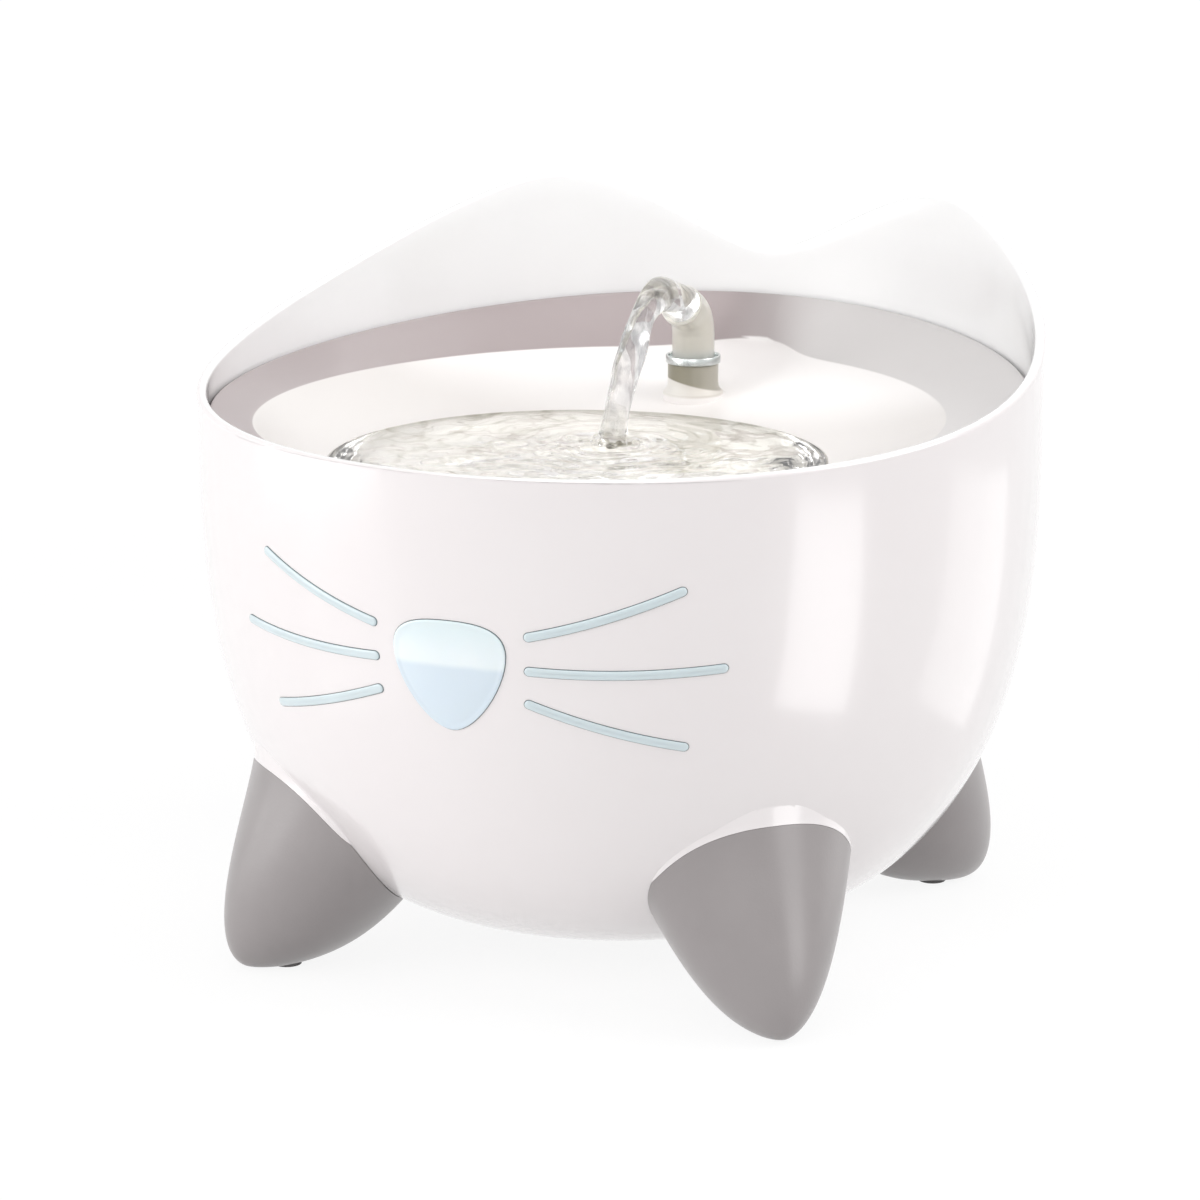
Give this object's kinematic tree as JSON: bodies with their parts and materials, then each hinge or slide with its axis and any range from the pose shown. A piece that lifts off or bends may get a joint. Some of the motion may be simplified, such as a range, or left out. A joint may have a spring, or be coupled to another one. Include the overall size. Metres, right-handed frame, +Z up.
{
  "type": "pet water fountain",
  "caption": "Round pet drinking fountain: eared bowl on claw feet, sloping tray with dish and spout, pump and filter inside.",
  "frame": {"origin": "on the floor, under the middle of the bowl", "axes": "+Z up, -Y towards the face, +Y towards the ears, +X to the right of someone who looks at the face"},
  "size_m": [0.23, 0.23, 0.195],
  "materials": {
    "white_gloss": "glossy white moulding",
    "window_blue": "translucent pale blue, polished",
    "guide_clear": "clear, diffusing back",
    "board_green": "solder-masked board",
    "cover_white": "plain white moulding",
    "foot_grey": "satin warm grey",
    "soft_rubber": "soft matt",
    "screw_steel": "plain zinc",
    "tray_cream": "smooth satin gloss",
    "collar_bright": "bright plated",
    "nozzle_frosted": "frosted translucent",
    "pump_dark": "fine matt moulding",
    "impeller_white": "plain moulding",
    "magnet_dark": "sintered, plain",
    "ceramic_ivory": "ground smooth",
    "bush_black": "plain",
    "riser_pale": "smooth tube",
    "housing_pale": "smooth moulding",
    "cartridge_blue": "plain moulding",
    "fibre_white": "needled fibre pad",
    "carbon_black": "granules in a net"
  },
  "bodies": {
    "bowl": {"body_shell": "white_gloss", "nose_lens": "window_blue", "whisker_lenses_left": "window_blue", "whisker_lenses_right": "window_blue", "light_guide": "guide_clear", "led_board": "board_green", "led_cover": "cover_white", "foot_front_left": "foot_grey", "foot_front_right": "foot_grey", "foot_rear_left": "foot_grey", "foot_rear_right": "foot_grey", "foot_pads": "soft_rubber", "cable_grommet": "soft_rubber", "outlet_seal": "soft_rubber", "suction_cups": "soft_rubber", "pump_gland": "soft_rubber", "foot_screws": "screw_steel", "pump_body": "pump_dark", "impeller_shaft": "ceramic_ivory", "shaft_bush_rear": "bush_black", "riser_tube": "riser_pale", "filter_housing": "housing_pale", "filter_lid": "housing_pale", "filter_frame": "cartridge_blue", "filter_media": "fibre_white", "carbon_pack": "carbon_black"},
    "tray": {"drinking_tray": "tray_cream", "spout_collar": "collar_bright"},
    "nozzle": {"spout_nozzle": "nozzle_frosted"},
    "pump_cover_body": {"pump_cover": "pump_dark", "shaft_bush_front": "bush_black"},
    "rotor": {"impeller": "impeller_white", "rotor_magnet": "magnet_dark"}
  },
  "joints": [
    {"name": "tray_lift", "type": "slide", "parent": "bowl", "child": "tray", "axis": [0, 0, 1], "range_m": [0, 0.12]},
    {"name": "nozzle_swivel", "type": "hinge", "parent": "tray", "child": "nozzle", "pos_m": [0, 0.0546, 0.1498], "axis": [0, 0, 1], "range_deg": [-90, 90]},
    {"name": "impeller_spin", "type": "hinge", "parent": "bowl", "child": "rotor", "pos_m": [0, 0.043, 0.0395], "axis": [1, 0, 0], "continuous": true},
    {"name": "cover_pull", "type": "slide", "parent": "bowl", "child": "pump_cover_body", "axis": [-1, 0, 0], "range_m": [0, 0.012]}
  ]
}
